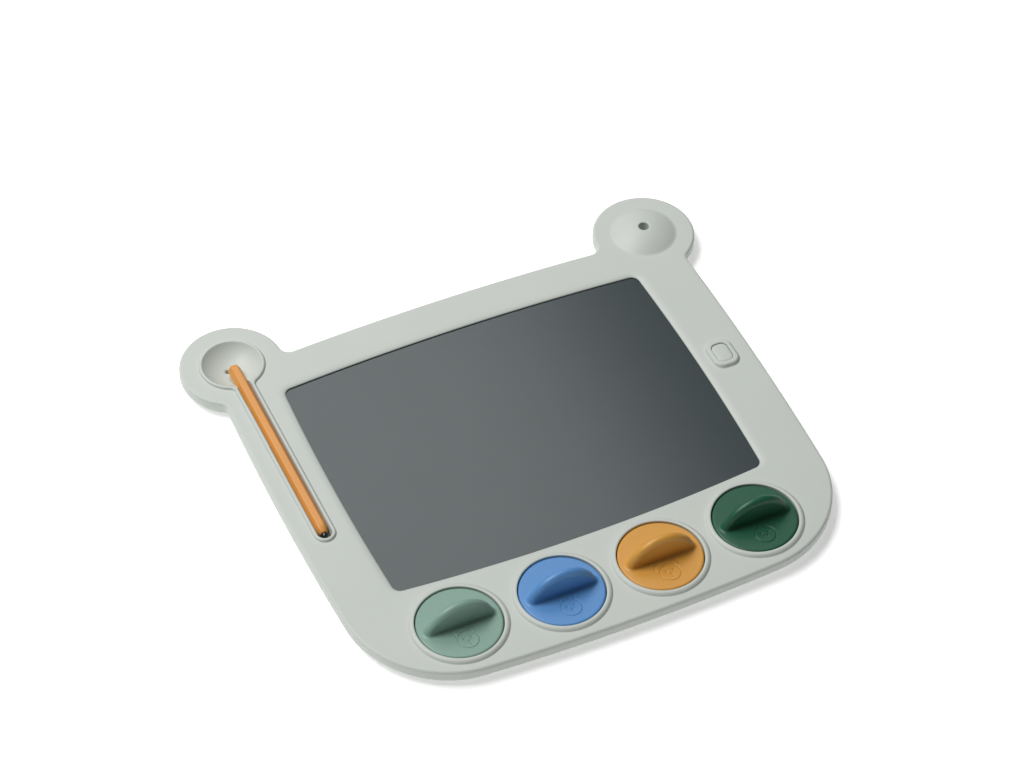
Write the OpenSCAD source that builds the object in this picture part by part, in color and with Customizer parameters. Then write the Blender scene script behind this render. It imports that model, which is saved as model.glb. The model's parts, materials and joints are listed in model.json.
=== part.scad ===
// Kids drawing tablet with four picture stamps and a stylus, built as an assembly of single pieces.
// Units mm, +Z up (away from the rear face), +Y towards the two ears, origin at the centre of the rear face.

/* [Outline] */
// half width of the body at its widest
body_half_w = 130.5; // [90:0.5:170]
// y of the widest point of the sides
side_y = 8; // [-30:1:30]
// radius of the gently bowed sides
side_r = 1750; // [600:10:4000]
// y of the top edge on the centre line
top_y = 101.9; // [70:0.1:140]
// radius of the gently bowed top edge
top_r = 1450; // [600:10:4000]
// y of the bottom edge on the centre line
bottom_y = -129.3; // [-160:0.1:-90]
// radius of the gently bowed bottom edge
bottom_r = 1230; // [600:10:4000]
// radius of the two bottom corners
corner_r = 55; // [20:1:70]
// distance of the ear centres from the centre line
ear_x = 116.5; // [80:0.5:150]
// y of the ear centres
ear_y = 102.3; // [70:0.1:140]
// radius of the ears
ear_r = 27; // [20:0.5:40]
// radius of the hollow curve between ear and body
ear_blend_r = 5; // [2:0.5:15]

/* [Heights] */
// height of the flat front face above the rear face
top_z = 10; // [8:0.5:16]
// lower edge of the front housing wall
skirt_z = 4; // [2:0.5:6]
// thickness of the front face
plate_t = 1.8; // [1.2:0.1:3]
// thickness of the front housing wall
wall_t = 2; // [1.2:0.1:3]
// thickness of the rear floor
floor_t = 1.6; // [1.2:0.1:3]
// step between the rear floor edge and the front housing wall
rear_inset = 3.8; // [2:0.1:6]
// gap between the walls of the two housing halves
shell_gap = 0.3; // [0.1:0.05:0.6]

/* [Screen] */
// half width of the screen opening at mid height
screen_half_w = 100.9; // [60:0.1:140]
// radius of the bowed sides of the opening
screen_side_r = 1370; // [400:10:4000]
// y of the opening's top edge on the centre line
screen_top_y = 79.6; // [50:0.1:110]
// radius of the bowed top edge of the opening
screen_top_r = 1360; // [400:10:4000]
// y of the opening's bottom edge on the centre line
screen_bottom_y = -71.8; // [-100:0.1:-40]
// radius of the bowed bottom edge of the opening
screen_bottom_r = 1000; // [400:10:4000]
// corner radius of the opening
screen_corner_r = 4.5; // [2:0.5:15]
// how far the writing film runs under the bezel
film_lap = 3; // [1.5:0.5:6]

/* [Stamps] */
// radius of a stamp
stamp_r = 21.15; // [15:0.05:30]
// distance between neighbouring stamps
stamp_pitch = 52.75; // [45:0.05:80]
// y of the two outer stamps
stamp_y = -97.4; // [-110:0.1:-80]
// how much lower the two inner stamps sit
stamp_drop = 2.5; // [0:0.1:6]
// height of the stamp's flat face above the front face
stamp_rise = 1; // [0:0.1:1.4]
// radial gap between stamp and well
stamp_gap = 0.45; // [0.2:0.05:1]
// height of the raised ring round each well
ring_h = 1.5; // [0.5:0.1:3]
// width of the raised ring
ring_w = 3; // [1.5:0.1:5]
// half length of the grip where it meets the stamp's flat face
grip_half_l = 17.9; // [10:0.1:20]
// height of the grip above the stamp's flat face
grip_h = 14.5; // [6:0.5:20]
// thickness of the grip
grip_t = 5; // [4:0.1:8]

/* [Stylus and ears] */
// distance of the stylus from the centre line
slot_x = 116.1; // [100:0.1:130]
// y of the rounded lower end centre of the slot
slot_end_y = -19.6; // [-60:0.1:40]
// width of the stylus slot
slot_w = 7.4; // [7.2:0.1:12]
// width of the raised lip round the slot and bowl
lip_w = 2; // [1:0.1:4]
// height of the raised lip
lip_h = 1.3; // [0.5:0.1:3]
// radius of the stylus barrel
barrel_r = 3.4; // [2.5:0.1:5]
// y of the blunt end of the stylus
stylus_top_y = 101.8; // [60:0.1:102]
// y of the writing point
stylus_tip_y = -21.4; // [-40:0.1:40]
// radius of the finger bowl at its lip
bowl_r = 15; // [10:0.5:20]
// depth of the finger bowl below its lip
bowl_d = 6.9; // [3:0.1:8]
// radius of the small cord hole in the bowl
cord_r = 1.25; // [0.8:0.05:2]
// how far the cord hole lies outwards from the bowl centre
cord_out = 2.2; // [-4:0.1:4]
// how far the cord hole lies above the bowl centre
cord_up = 1.4; // [0:0.1:5]
// radius of the dome on the right ear
dome_r = 17; // [10:0.5:22]
// height of the dome
dome_h = 5; // [2:0.5:8]
// radius of the hanging hole through the dome
hang_r = 2.7; // [1.5:0.1:4]

/* [Erase button] */
// x of the button centre
button_x = 114.6; // [113:0.1:117]
// y of the button centre
button_y = 7.4; // [-40:0.1:60]
// width of the button cap
button_w = 8.6; // [6:0.1:14]
// length of the button cap
button_l = 12.2; // [6:0.1:18]
// corner radius of the button cap
button_c = 3.2; // [1:0.1:5]
// width of the raised collar
collar_w = 14.6; // [10:0.1:20]
// length of the raised collar
collar_l = 19; // [12:0.1:26]
// height of the raised collar
collar_h = 1.8; // [0.5:0.1:3]
// gap between cap and collar
button_gap = 0.3; // [0.15:0.05:0.8]

/* [Inside] */
// centre of the coin cell, x
cell_x = 78; // [40:1:88]
// centre of the coin cell, y
cell_y = -36; // [-50:1:40]
// radius of the coin cell
cell_r = 10; // [8:0.5:12]
// thickness of the coin cell
cell_t = 3.2; // [1.6:0.1:5]
// width of the control board
board_w = 18.6; // [14:0.1:20]
// length of the control board
board_l = 42; // [25:1:60]

/* [Colours] */
// both housing halves
shell_color = "#C8CEC7";
// left outer stamp
mint_color = "#94B4A7";
// left inner stamp
blue_color = "#5E91C6";
// right inner stamp
ochre_color = "#D1994E";
// right outer stamp
green_color = "#406957";
// stylus barrel
stylus_color = "#EBA55F";

/* [Hidden] */
$fn = 96;

big_fn = 2400;
eps = 0.01;
// arcs that would only touch cross by this much, so that their corners are well defined
cross = 0.004;
plate_z = top_z - plate_t;
// screen stack, from the front: bezel lip, tape, film, black sheet, support plate
bezel_t = 1.2;
bezel_z = top_z - bezel_t;
tape_t = 0.3;
film_t = 0.5;
sheet_t = 0.3;
support_t = 1;
film_top = bezel_z - tape_t;
sheet_top = film_top - film_t;
support_top = sheet_top - sheet_t;
support_z = support_top - support_t;
film_pocket_gap = 0.4;
// tab of the writing film that carries its two contacts
film_tab_x = 5;
film_tab_y = button_y + 8.6;
film_tab_l = 8;
// rear cover wall that nests inside the front housing wall
nest_out = wall_t + shell_gap;
nest_in = nest_out + 1.6;
nest_top = 6;
nest_foot_in = 5.7;
nest_foot_top = 2.4;
// stamp wells and stamps
well_r = stamp_r + stamp_gap;
well_t = 1.6;
well_floor = 3.8;
well_floor_t = 1.4;
cap_z = 5;
cap_top = top_z + stamp_rise;
cap_top_t = 1.6;
cap_wall = 1.85;
die_z = 4.5;
die_t = 1.6;
die_relief = 0.4;
die_gap = 0.15;
grip_wall = 1.3;
face_h = 0.3;
face_y = -11;
face_scale = 1.12;
die_face_scale = 2.1;
stamp_xs = [-1.5 * stamp_pitch, -0.5 * stamp_pitch, 0.5 * stamp_pitch, 1.5 * stamp_pitch];
// stylus slot and bowl
trough_t = 1.6;
slot_floor = 4.4;
slot_floor_t = 1.4;
stylus_z = slot_floor + 0.3 + barrel_r;
lip_top = top_z + lip_h;
bowl_s = (bowl_r * bowl_r + bowl_d * bowl_d) / (2 * bowl_d);
bowl_z = lip_top - bowl_d + bowl_s;
lip_blend_r = 5;
keeper_y = [43, 72];
keeper_t = 0.2;
dome_s = (dome_r * dome_r + dome_h * dome_h) / (2 * dome_h);
dome_t = 1.8;
dome_z = top_z + dome_h - dome_s;
tube_t = 1.6;
tube_gap = 0.3;
cord_xy = [-ear_x - cord_out, ear_y + cord_up];
cord_tube_r = cord_r + 1.95;
// screws that hold the housing halves together
screw_xy = [
    [-98, 92.5], [-34, 92.5], [34, 92.5], [98, 92.5],
    [116, 62], [-116, -36], [-108, -98], [108, -98], [-52.7, -119], [52.7, -119]
];
boss_r = 3;
boss_z = 3.7;
rear_boss_r = 3.9;
rear_boss_top = 3.6;
screw_r = 1.1;
screw_head_r = 2.3;
screw_hole_z = 1.9;
// control board and switch
board_x = 115.8;
board_z = 2.6;
board_t = 1;
board_top = board_z + board_t;
board_holes = [[board_x + 6.2, button_y + 17.1], [board_x + 6.2, button_y - 17.1]];
switch_w = 6;
switch_h = 2.5;
plunger_r = 1.7;
plunger_h = 0.8;
button_z = board_top + switch_h + plunger_h + 0.1;
flange_t = 0.8;
flange_lap = 1;
// battery compartment
door_w = 27;
door_l = 36;
door_c = 4;
door_t = 1;
door_gap = 0.25;
door_screw_dy = 14.6;
holder_r = 12.6;
holder_in = 10.4;
holder_top = 6.4;
cell_z = 2.1;
rib_t = 1.2;
wire_r = 0.55;
wire_bend = 1.8;
wire_z = board_top + 0.65;

// ---------- outline geometry ----------
// meeting point of two circles, s picks the side
function meet(a, ra, b, rb, s) =
    let(d = norm(b - a), u = (b - a) / d, p = (d * d + ra * ra - rb * rb) / (2 * d),
        h = sqrt(max(0, ra * ra - p * p)))
    a + p * u + s * h * [-u[1], u[0]];
function unit(v) = v / norm(v);

body_top_c = [0, top_y - top_r];
body_side_c = [body_half_w - side_r, side_y];
body_bottom_c = [0, bottom_y + bottom_r];
ear_c = [ear_x, ear_y];

// region outside a corner arc, between the two rays that end the arc
module corner_cut(side_c, rs, edge_c, re, r, s, o) {
    k = meet(side_c, rs - r, edge_c, re - r, s);
    u = unit(k - side_c);
    v = unit(k - edge_c);
    reach = 3 * r + 10;
    difference() {
        polygon([k, k + u * reach, k + (u + v) * reach, k + v * reach]);
        translate(k) circle(r = r - o + cross);
    }
}

// four bowed edges with rounded corners; o moves the whole outline inwards
module soft_box(hw, sy, rs, ty, rt, by, rb, ct, cb, o) {
    side_c = [hw - rs, sy];
    top_c = [0, ty - rt];
    bottom_c = [0, by + rb];
    difference() {
        intersection() {
            translate(top_c) circle(r = rt - o, $fn = big_fn);
            translate(bottom_c) circle(r = rb - o, $fn = big_fn);
            translate(side_c) circle(r = rs - o, $fn = big_fn);
            mirror([1, 0]) translate(side_c) circle(r = rs - o, $fn = big_fn);
        }
        for (m = [0, 1]) mirror([m, 0]) {
            if (ct > 0) corner_cut(side_c, rs, top_c, rt, ct, 1, o);
            if (cb > 0) corner_cut(side_c, rs, bottom_c, rb, cb, -1, o);
        }
    }
}

// hollow curve that joins a circle at c with an edge arc
module blend(c, rc, edge_c, re, rf, s, o) {
    f = meet(c, rc + rf, edge_c, re + rf, s);
    difference() {
        polygon([f, c, edge_c + unit(f - edge_c) * (re - 18)]);
        translate(f) circle(r = rf + o + cross);
    }
}

module outline(o = 0) {
    soft_box(body_half_w, side_y, side_r, top_y, top_r, bottom_y, bottom_r, 0, corner_r, o);
    for (m = [0, 1]) mirror([m, 0]) {
        translate(ear_c) circle(r = ear_r - o);
        blend(ear_c, ear_r, body_top_c, top_r, ear_blend_r, -1, o);
        blend(ear_c, ear_r, body_side_c, side_r, ear_blend_r, 1, o);
    }
}

// screen opening, moved outwards by lap
module screen_shape(lap = 0) {
    soft_box(screen_half_w, 5, screen_side_r, screen_top_y, screen_top_r,
        screen_bottom_y, screen_bottom_r, screen_corner_r, screen_corner_r, -lap);
}

module slab(z0, z1) {
    translate([0, 0, z0]) linear_extrude(height = z1 - z0) children();
}

module rounded(w, l, r) {
    square([w, l - 2 * r], center = true);
    square([w - 2 * r, l], center = true);
    for (x = [-1, 1], y = [-1, 1]) translate([x * (w / 2 - r), y * (l / 2 - r)]) circle(r = r);
}

// strip with round ends from y0 to y1
module strip(w, y0, y1) {
    translate([-w / 2, y0]) square([w, y1 - y0]);
    translate([0, y0]) circle(r = w / 2);
    translate([0, y1]) circle(r = w / 2);
}

function stamp_xy(i) = [stamp_xs[i], stamp_y - ((i == 1 || i == 2) ? stamp_drop : 0)];

// bowl circle and slot strip with hollow curves where they meet; grow moves it outwards
module slot_shape(grow) {
    translate([-ear_x, ear_y]) circle(r = bowl_r + grow);
    translate([-slot_x, 0]) strip(slot_w + 2 * grow, slot_end_y, ear_y - bowl_r + 2);
    for (m = [0, 1]) translate([-slot_x, ear_y]) mirror([m, 0]) lip_blend(grow);
}

module lip_blend(grow) {
    hx = slot_w / 2 + lip_blend_r;
    hy = sqrt(pow(bowl_r + lip_blend_r, 2) - hx * hx);
    difference() {
        polygon([[0, 0], [hx, -hy], [0, -hy]]);
        translate([hx, -hy]) circle(r = lip_blend_r - grow);
    }
}

// ---------- housing ----------
module front_body() {
    slab(plate_z, top_z) outline();
    slab(skirt_z, plate_z) difference() {
        outline();
        outline(wall_t);
    }
    for (i = [0:3]) translate(stamp_xy(i)) {
        translate([0, 0, well_floor - well_floor_t])
            cylinder(r = well_r + well_t, h = plate_z - well_floor + well_floor_t);
        translate([0, 0, plate_z]) cylinder(r = well_r + ring_w, h = plate_t + ring_h);
    }
    slab(slot_floor - slot_floor_t, plate_z) intersection() {
        slot_shape(trough_t);
        translate([-slot_x - 30, slot_end_y - 10]) square([60, ear_y - bowl_r - slot_end_y + 8]);
    }
    slab(plate_z, lip_top) slot_shape(lip_w);
    intersection() {
        translate([-ear_x, ear_y, bowl_z]) sphere(r = bowl_s + slot_floor_t);
        translate([-ear_x, ear_y, 0]) cylinder(r = bowl_r + lip_w, h = plate_z + eps);
    }
    slot_pad();
    translate([cord_xy[0], cord_xy[1], 0]) cylinder(r = cord_tube_r, h = slot_floor);
    intersection() {
        translate([ear_x, ear_y, dome_z]) sphere(r = dome_s);
        translate([ear_x, ear_y, top_z - eps]) cylinder(r = dome_r, h = dome_h + 1);
    }
    translate([0, 0, plate_z]) linear_extrude(height = plate_t + collar_h)
        translate([button_x, button_y]) rounded(collar_w, collar_l, 5.5);
    for (p = screw_xy) translate([p[0], p[1], boss_z]) cylinder(r = boss_r, h = plate_z - boss_z + eps);
}

// floor under the part of the stylus that lies over the bowl
module slot_pad() {
    translate([-slot_x, 0, 0]) slab(slot_floor - slot_floor_t, plate_z - 2)
        strip(slot_w + 2 * trough_t, ear_y - bowl_r, stylus_top_y - 6);
}

module front_cuts() {
    slab(bezel_z - eps, lip_top + 5) screen_shape();
    slab(plate_z - 5, bezel_z) screen_shape(film_lap + film_pocket_gap);
    translate([screen_half_w, film_tab_y - 0.5, plate_z - 1])
        cube([film_tab_x + 0.5, film_tab_l + 1, 1 + bezel_z - plate_z]);
    for (i = [0:3]) translate([stamp_xy(i)[0], stamp_xy(i)[1], well_floor]) cylinder(r = well_r, h = 20);
    translate([-slot_x, 0, 0]) slab(slot_floor, 20) strip(slot_w, slot_end_y, stylus_top_y - 3.6);
    translate([-ear_x, ear_y, bowl_z]) sphere(r = bowl_s);
    translate([cord_xy[0], cord_xy[1], -1]) cylinder(r = cord_r, h = 20);
    intersection() {
        translate([ear_x, ear_y, dome_z]) sphere(r = dome_s - dome_t);
        translate([ear_x, ear_y, plate_z - 1]) cylinder(r = dome_r - 1.5, h = 20);
    }
    translate([button_x, button_y, 0]) slab(plate_z - 1, 20)
        rounded(button_w + 2 * button_gap, button_l + 2 * button_gap, button_c + button_gap);
    for (p = screw_xy) translate([p[0], p[1], boss_z - 1]) cylinder(r = screw_r + 0.05, h = 4.9);
}

module front_housing() {
    color(shell_color) difference() {
        union() {
            difference() {
                front_body();
                front_cuts();
            }
            translate([ear_x, ear_y, 0]) cylinder(r = hang_r + tube_t, h = top_z + dome_h - dome_t / 2 - 0.3);
            translate([-slot_x - slot_w / 2 - 0.5, keeper_y[0], lip_top - 1])
                cube([0.5 + keeper_t, keeper_y[1] - keeper_y[0], 1]);
        }
        translate([ear_x, ear_y, -1]) cylinder(r = hang_r, h = 30);
    }
}

module rear_cover() {
    color(shell_color) difference() {
        union() {
            slab(0, floor_t) outline(rear_inset);
            slab(floor_t - 0.2, nest_foot_top) difference() {
                outline(nest_out);
                outline(nest_foot_in);
            }
            slab(nest_foot_top - eps, nest_top) difference() {
                outline(nest_out);
                outline(nest_in);
            }
            for (p = screw_xy) translate([p[0], p[1], 0]) cylinder(r = rear_boss_r, h = rear_boss_top);
            for (p = board_holes) translate([p[0], p[1], 0]) cylinder(r = 2.4, h = board_z);
            for (y = [-door_screw_dy, door_screw_dy])
                translate([cell_x, cell_y + y, 0]) cylinder(r = 2.6, h = 5.6);
            for (x = [-66, -22, 22, 57]) translate([x - rib_t / 2, -62, 0]) cube([rib_t, 132, support_z]);
            translate([-96, 30 - rib_t / 2, 0]) cube([192, rib_t, support_z]);
        }
        for (p = screw_xy) translate([p[0], p[1], 0]) {
            translate([0, 0, -1]) cylinder(r = screw_head_r + 0.25, h = 1 + screw_hole_z);
            cylinder(r = screw_r + 0.2, h = 10);
        }
        for (p = board_holes) translate([p[0], p[1], 0.7]) cylinder(r = 0.9, h = 5);
        translate([cell_x, cell_y, -1]) linear_extrude(height = 1 + door_t + 0.1)
            rounded(door_w + 2 * door_gap, door_l + 2 * door_gap, door_c + door_gap);
        translate([cell_x, cell_y, 0]) cylinder(r = cell_r + 0.6, h = 4);
        for (y = [-door_screw_dy, door_screw_dy])
            translate([cell_x, cell_y + y, 0]) cylinder(r = 0.95, h = 4.9);
        translate([ear_x, ear_y, -1]) cylinder(r = hang_r + tube_t + tube_gap, h = 10);
        translate([cord_xy[0], cord_xy[1], -1]) cylinder(r = cord_tube_r + tube_gap, h = 10);
    }
}

// cross recess of a screw head, cut upwards from the head face
module cross_recess(r, d) {
    for (a = [0, 90]) rotate([0, 0, a]) translate([-r, -r / 4, -eps]) cube([2 * r, r / 2, d]);
}

module housing_screws() {
    color("#9A9C9E") for (p = screw_xy) translate([p[0], p[1], 0.35]) difference() {
        union() {
            cylinder(r = screw_head_r, h = 1.5);
            cylinder(r = screw_r, h = 6.6);
        }
        cross_recess(1.3, 0.8);
    }
}

// ---------- screen stack ----------
module screen_tape() {
    color("#2B2D2F") slab(film_top, bezel_z) difference() {
        screen_shape(film_lap);
        screen_shape(0.3);
    }
}

module writing_film() {
    color("#5A6064") slab(sheet_top, film_top) {
        screen_shape(film_lap);
        translate([screen_half_w, film_tab_y]) square([film_tab_x, film_tab_l]);
    }
}

module black_sheet() {
    color("#161719") slab(support_top, sheet_top) screen_shape(film_lap - 0.2);
}

module support_plate() {
    color("#3A3C3E") slab(support_z, support_top) screen_shape(film_lap - 0.6);
}

module flex_tail() {
    y0 = button_y + 9.1;
    z0 = board_top + 0.5;
    color("#B5702B") translate([0, y0, 0]) {
        translate([104.3, 0, sheet_top - 0.15]) cube([1.6, 7, 0.15]);
        translate([105.75, 0, z0]) cube([0.15, 7, sheet_top - z0]);
        translate([105.75, 0, z0]) cube([3.3, 7, 0.15]);
    }
}

// ---------- control board ----------
module control_board() {
    color("#2E6B45") difference() {
        translate([board_x, button_y, 0]) slab(board_z, board_top) rounded(board_w, board_l, 1.5);
        for (p = board_holes) translate([p[0], p[1], 0]) cylinder(r = 1, h = 10);
    }
}

module board_screws() {
    color("#9A9C9E") for (p = board_holes) translate([p[0], p[1], 0]) difference() {
        union() {
            translate([0, 0, board_top]) cylinder(r = 1.8, h = 1.1);
            translate([0, 0, 0.9]) cylinder(r = 0.85, h = board_top - 0.9 + eps);
        }
        translate([0, 0, board_top + 1.1]) mirror([0, 0, 1]) cross_recess(1, 0.6);
    }
}

module flex_connector() {
    color("#E8E4D8") difference() {
        translate([107.9, button_y + 8.1, board_top]) cube([4, 9, 1.3]);
        translate([107, button_y + 8.9, board_top + 0.4]) cube([2.2, 7.4, 0.35]);
    }
}

module controller_chip() {
    x = board_x - 1;
    y = button_y - 10;
    color("#222426") translate([x, y, board_top + 0.15]) {
        translate([-2, -2.5, 0]) cube([4, 5, 1.4]);
    }
    color("#C9CBCC") for (i = [-1.5, -0.5, 0.5, 1.5], s = [-1, 1])
        translate([x + s * 2.5 - 0.55, y + i * 1.27 - 0.2, board_top]) cube([1.1, 0.4, 0.45]);
}

module chip_capacitors() {
    color("#B79A6B") for (p = [[-6, -5], [-6, -8], [6.2, -7]])
        translate([board_x + p[0] - 0.8, button_y + p[1] - 0.4, board_top]) cube([1.6, 0.8, 0.7]);
}

module switch_body() {
    color("#2A2B2D") translate([button_x, button_y, board_top]) difference() {
        slab(0, switch_h) rounded(switch_w, switch_w, 0.6);
        translate([0, 0, 0.8]) cylinder(r = plunger_r + 0.25, h = 5);
    }
}

module switch_plunger() {
    color("#D8D2C4") translate([button_x, button_y, board_top + 1.4])
        cylinder(r = plunger_r, h = switch_h + plunger_h - 1.4);
}

module erase_button() {
    color(shell_color) translate([button_x, button_y, 0]) {
        slab(button_z, top_z + collar_h - 0.2) rounded(button_w, button_l, button_c);
        slab(button_z, button_z + flange_t)
            rounded(button_w + 2 * flange_lap, button_l + 2 * flange_lap, button_c + flange_lap);
    }
}

// ---------- battery ----------
module battery_holder() {
    color("#303234") translate([cell_x, cell_y, 0]) difference() {
        translate([0, 0, floor_t]) cylinder(r = holder_r, h = holder_top - floor_t);
        translate([0, 0, floor_t - 1]) cylinder(r = holder_in, h = 5.7 - floor_t + 1);
        translate([9, -2.6, floor_t - 1]) cube([6, 5.2, 10]);
        translate([-15, -2, 5.1]) cube([9, 4, 3]);
        for (y = [-door_screw_dy, door_screw_dy]) translate([0, y, 0]) cylinder(r = 2.9, h = 10);
    }
}

module contact_minus() {
    color("#C9CBCC") translate([cell_x, cell_y, 0]) {
        translate([-13.6, -1.5, 5.4]) cube([17, 3, 0.25]);
        translate([-13.6, -1.5, 3.4]) cube([0.25, 3, 2.2]);
    }
}

module contact_plus() {
    color("#C9CBCC") translate([cell_x, cell_y, 0]) {
        translate([cell_r + 0.05, -1.8, 2.3]) cube([0.25, 3.6, 3]);
        translate([cell_r + 0.05, -1.8, 5.1]) cube([4.2, 3.6, 0.25]);
        translate([cell_r + 4, -1.8, 3.6]) cube([0.25, 3.6, 1.7]);
    }
}

module coin_cell() {
    color("#D3D5D6") translate([cell_x, cell_y, cell_z]) {
        cylinder(r = cell_r, h = cell_t - 0.35);
        cylinder(r = cell_r - 1.1, h = cell_t);
    }
}

// round wire at height z through a list of [x, y] corners, every bend a right angle
module wire(pts, z, r) {
    n = len(pts);
    for (i = [0:n - 2]) {
        u = unit(pts[i + 1] - pts[i]);
        a = pts[i] + u * (i > 0 ? wire_bend : 0);
        b = pts[i + 1] - u * (i < n - 2 ? wire_bend : 0);
        translate([a[0], a[1], z]) rotate([0, 0, atan2(u[1], u[0])]) rotate([0, 90, 0])
            cylinder(r = r, h = norm(b - a));
        if (i > 0) {
            v = unit(pts[i] - pts[i - 1]);
            left = v[0] * u[1] - v[1] * u[0] > 0;
            c = pts[i] - v * wire_bend + u * wire_bend;
            start = left ? atan2(-u[1], -u[0]) : atan2(v[1], v[0]);
            translate([c[0], c[1], z]) rotate([0, 0, start]) rotate_extrude(angle = 90)
                translate([wire_bend, 0]) circle(r = r);
        }
    }
}

module lead_red() {
    color("#B3261E") wire([[cell_x + 14.85, cell_y], [104.9, cell_y], [104.9, button_y - 17.6],
        [108.6, button_y - 17.6]], wire_z, wire_r);
}

module lead_black() {
    color("#1C1C1E") wire([[cell_x - 14.2, cell_y], [cell_x - 14.2, cell_y + 20], [102.4, cell_y + 20],
        [102.4, button_y - 13], [108.4, button_y - 13]], wire_z, wire_r);
}

module battery_door() {
    color(shell_color) translate([cell_x, cell_y, 0]) difference() {
        union() {
            slab(0, door_t) rounded(door_w, door_l, door_c);
            cylinder(r = cell_r - 0.2, h = 1.8);
        }
        for (y = [-door_screw_dy, door_screw_dy]) translate([0, y, 0]) {
            cylinder(r = 1.05, h = 5);
            translate([0, 0, -eps]) cylinder(r1 = 2.25, r2 = 1.05, h = 0.95);
        }
    }
}

module door_screws() {
    color("#9A9C9E") translate([cell_x, cell_y, 0.15])
        for (y = [-door_screw_dy, door_screw_dy]) translate([0, y, 0]) difference() {
        union() {
            cylinder(r1 = 1.9, r2 = 0.85, h = 0.85);
            cylinder(r = 0.85, h = 4.4);
        }
        cross_recess(0.9, 0.6);
    }
}

// ---------- stylus ----------
// turned piece along +Y from a list of [y, radius]
module turned(pts) {
    translate([-slot_x, 0, stylus_z]) rotate([-90, 0, 0])
        rotate_extrude()
            polygon(concat([[0, pts[0][0]]], [for (p = pts) [p[1], p[0]]], [[0, pts[len(pts) - 1][0]]]));
}

module stylus_barrel() {
    t = stylus_tip_y;
    color(stylus_color) difference() {
        turned([[t + 3, 1.95], [t + 8.5, barrel_r], [stylus_top_y - 1.6, barrel_r], [stylus_top_y, 2.3]]);
        turned([[t + 2, 1.45], [t + 12, 1.45]]);
    }
}

module stylus_tip() {
    t = stylus_tip_y;
    color("#26282B") turned([[t, 0.5], [t + 0.7, 1], [t + 0.9, 1.45],
        [t + 2.9, 1.85], [t + 2.9, 1.35], [t + 11.5, 1.35]]);
}

// ---------- stamps ----------
module line_ring(r, w) {
    difference() {
        circle(r = r + w / 2);
        circle(r = r - w / 2);
    }
}

// own simple animal faces: 0 cat, 1 rabbit, 2 bear, 3 chick; s scales, w is the line width
module face(kind, s, w) {
    line_ring(4.6 * s, w);
    for (m = [0, 1]) mirror([m, 0]) {
        translate([1.7 * s, 0.7 * s]) circle(r = 0.55 * s);
        if (kind == 0) ear_outline([[4.3, 1.7], [4.7, 6.4], [1.3, 4.5]], s, w);
        if (kind == 1) translate([2 * s, 4.2 * s]) difference() {
            strip(2.6 * s, 0, 2.4 * s);
            strip(2.6 * s - 2 * w, 0, 2.4 * s);
            circle(r = 1.2 * s);
        }
        if (kind == 2) translate([3.9 * s, 3.9 * s]) difference() {
            line_ring(1.9 * s, w);
            translate([-3.9 * s, -3.9 * s]) circle(r = 4.6 * s);
        }
    }
    if (kind == 3) {
        polygon([[-1 * s, -0.6 * s], [1 * s, -0.6 * s], [0, -2.3 * s]]);
        translate([0, 4.6 * s]) polygon([[-0.5 * s, 0], [0.5 * s, 0], [1.3 * s, 2.3 * s]]);
    } else {
        translate([0, -1 * s]) circle(r = 0.7 * s);
        translate([-w / 2, -2.6 * s]) square([w, 1.6 * s]);
    }
}

module ear_outline(p, s, w) {
    for (i = [0, 1]) {
        a = p[i] * s;
        b = p[i + 1] * s;
        n = unit([a[1] - b[1], b[0] - a[0]]) * w / 2;
        polygon([a - n, b - n, b + n, a + n]);
    }
}

module stamp_cap(i, kind, tint) {
    zs = cap_top + grip_h - (grip_half_l * grip_half_l + grip_h * grip_h) / (2 * grip_h);
    rs = (grip_half_l * grip_half_l + grip_h * grip_h) / (2 * grip_h);
    color(tint) translate(stamp_xy(i)) difference() {
        union() {
            translate([0, 0, cap_z]) cylinder(r = stamp_r, h = cap_top - cap_z);
            intersection() {
                translate([0, grip_t / 2, zs]) rotate([90, 0, 0]) cylinder(r = rs, h = grip_t);
                translate([-25, -10, cap_top - eps]) cube([50, 20, grip_h + 2]);
            }
        }
        translate([0, face_y, cap_top - face_h]) linear_extrude(height = face_h + 1) face(kind, face_scale, 0.5);
        translate([0, 0, cap_z - 1]) cylinder(r = stamp_r - cap_wall, h = cap_top - cap_top_t - cap_z + 1);
        intersection() {
            translate([0, grip_t / 2 - grip_wall, zs]) rotate([90, 0, 0])
                cylinder(r = rs - 2.4, h = grip_t - 2 * grip_wall);
            translate([-14, -5, cap_top - cap_top_t - 1]) cube([28, 10, grip_h + 2]);
        }
    }
}

module stamp_die(i, kind) {
    color("#D9D5CB") translate(stamp_xy(i)) {
        translate([0, 0, die_z]) cylinder(r = stamp_r - cap_wall - die_gap, h = die_t);
        translate([0, 0, die_z + die_t - eps]) difference() {
            cylinder(r = 9, h = cap_top - cap_top_t - die_z - die_t - 0.05);
            cylinder(r = 7, h = 10);
        }
        translate([0, 0, die_z - die_relief]) linear_extrude(height = die_relief + eps)
            mirror([1, 0]) face(kind, die_face_scale, 1);
    }
}

module stamp_cap_mint() {
    stamp_cap(0, 0, mint_color);
}

module stamp_cap_blue() {
    stamp_cap(1, 1, blue_color);
}

module stamp_cap_ochre() {
    stamp_cap(2, 2, ochre_color);
}

module stamp_cap_green() {
    stamp_cap(3, 3, green_color);
}

module stamp_die_mint() {
    stamp_die(0, 0);
}

module stamp_die_blue() {
    stamp_die(1, 1);
}

module stamp_die_ochre() {
    stamp_die(2, 2);
}

module stamp_die_green() {
    stamp_die(3, 3);
}

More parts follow.
